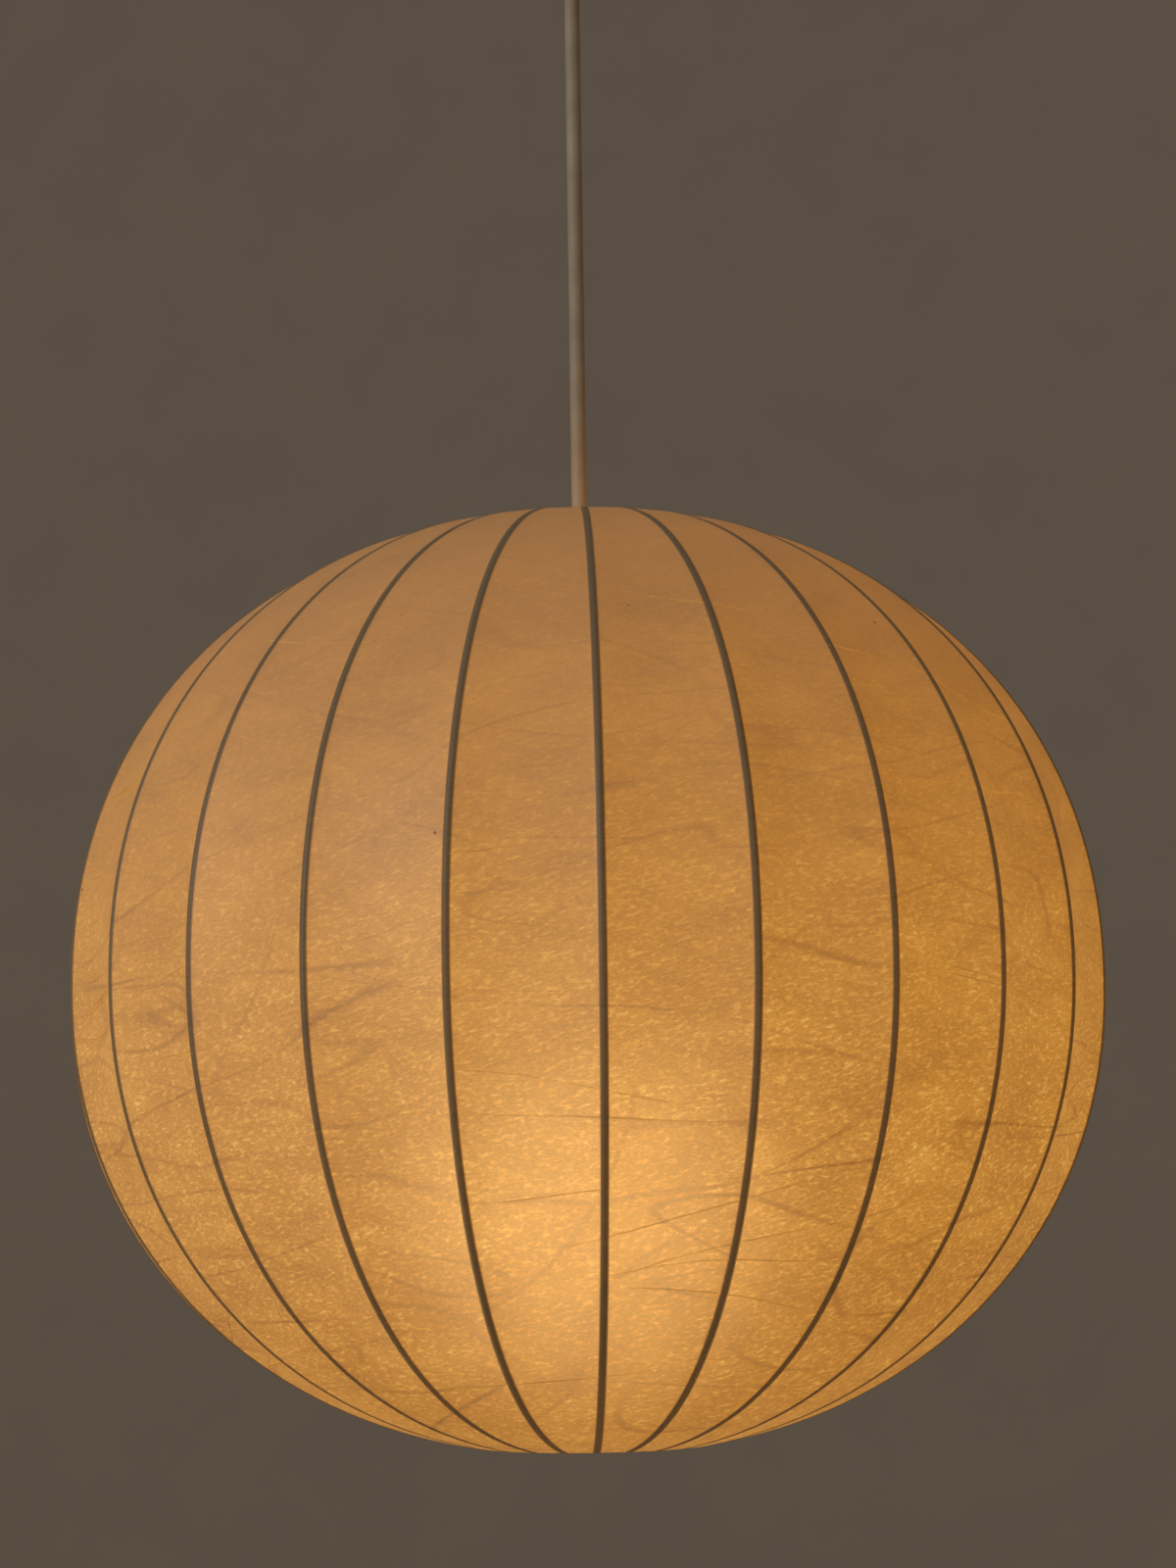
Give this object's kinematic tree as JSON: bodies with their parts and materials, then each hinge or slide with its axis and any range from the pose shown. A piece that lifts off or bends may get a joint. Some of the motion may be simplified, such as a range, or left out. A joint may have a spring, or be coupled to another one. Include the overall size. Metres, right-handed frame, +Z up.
{
  "type": "globe pendant lantern",
  "caption": "Squat globe of thin translucent film stretched over upright wire ribs, with a lampholder and bulb inside, hanging by a round flex from a ceiling canopy.",
  "frame": {"origin": "on the ceiling plane, midway between the bracket's two slots, on the lamp's vertical axis", "axes": "+Z up into the ceiling, X along the bracket through its two slots"},
  "size_m": [0.42, 0.42, 0.6835],
  "materials": {
    "film": "satin",
    "frame_wire": "satin",
    "zinc_steel": "satin",
    "brass_fitting": "satin",
    "flex": "satin",
    "core_brown": "satin",
    "core_blue": "satin",
    "holder_plastic": "gloss",
    "ceramic": "matt",
    "shell_metal": "satin",
    "bulb_glass": "clear",
    "bulb_cap": "satin",
    "bulb_insulator": "gloss",
    "filament": "glowing",
    "canopy_paint": "satin",
    "bush_plastic": "satin",
    "steel_screw": "satin"
  },
  "bodies": {
    "ceiling": {"bracket": "zinc_steel", "canopy": "canopy_paint", "canopy_screws": "zinc_steel", "canopy_bush": "bush_plastic", "bush_nut": "zinc_steel", "cord_clamp": "bush_plastic", "cord_tail": "flex", "terminal_block": "bush_plastic", "terminal_barrels": "brass_fitting", "terminal_screws": "brass_fitting", "canopy_core_live": "core_brown", "canopy_core_neutral": "core_blue"},
    "flex": {"cord": "flex"},
    "lamp": {"film": "film", "rib_01": "frame_wire", "rib_02": "frame_wire", "rib_03": "frame_wire", "rib_04": "frame_wire", "rib_05": "frame_wire", "rib_06": "frame_wire", "rib_07": "frame_wire", "rib_08": "frame_wire", "rib_09": "frame_wire", "rib_10": "frame_wire", "rib_11": "frame_wire", "rib_12": "frame_wire", "rib_13": "frame_wire", "rib_14": "frame_wire", "rib_15": "frame_wire", "rib_16": "frame_wire", "rib_17": "frame_wire", "rib_18": "frame_wire", "rib_19": "frame_wire", "rib_20": "frame_wire", "rib_21": "frame_wire", "rib_22": "frame_wire", "rib_23": "frame_wire", "rib_24": "frame_wire", "top_ring": "frame_wire", "bottom_ring": "frame_wire", "spider_hub": "frame_wire", "spider_arms": "frame_wire", "stem": "zinc_steel", "stem_lock_nut": "zinc_steel", "cord_grip": "brass_fitting", "cord_grip_screw": "steel_screw", "cord_in_stem": "flex", "holder_cap": "holder_plastic", "holder_body": "holder_plastic", "holder_insulator": "ceramic", "holder_shell": "shell_metal", "holder_contact": "brass_fitting", "holder_screws": "brass_fitting", "holder_core_live": "core_brown", "holder_core_neutral": "core_blue"},
    "bulb_tip": {"bulb_insulator": "bulb_insulator", "bulb_contact": "bulb_cap"},
    "bulb": {"bulb_glass": "bulb_glass", "bulb_cap": "bulb_cap", "bulb_filament": "filament"}
  },
  "joints": [
    {"name": "cord_swing", "type": "hinge", "parent": "ceiling", "child": "flex", "pos_m": [0, 0, -0.045], "axis": [1, 0, 0], "range_deg": [-12, 12]},
    {"name": "lamp_turn", "type": "hinge", "parent": "flex", "child": "lamp", "pos_m": [0, 0, -0.30764], "axis": [0, 0, 1], "range_deg": [-180, 180]},
    {"name": "bulb_travel", "type": "slide", "parent": "lamp", "child": "bulb_tip", "axis": [0, 0, -1], "range_m": [0, 0.01811]},
    {"name": "bulb_turn", "type": "hinge", "parent": "bulb_tip", "child": "bulb", "pos_m": [0, 0, -0.5757], "axis": [0, 0, -1], "range_deg": [0, 1800]}
  ],
  "couplings": [
    {"joint": "bulb_travel", "follows": "bulb_turn", "m_per_rad": 0.00057614}
  ]
}
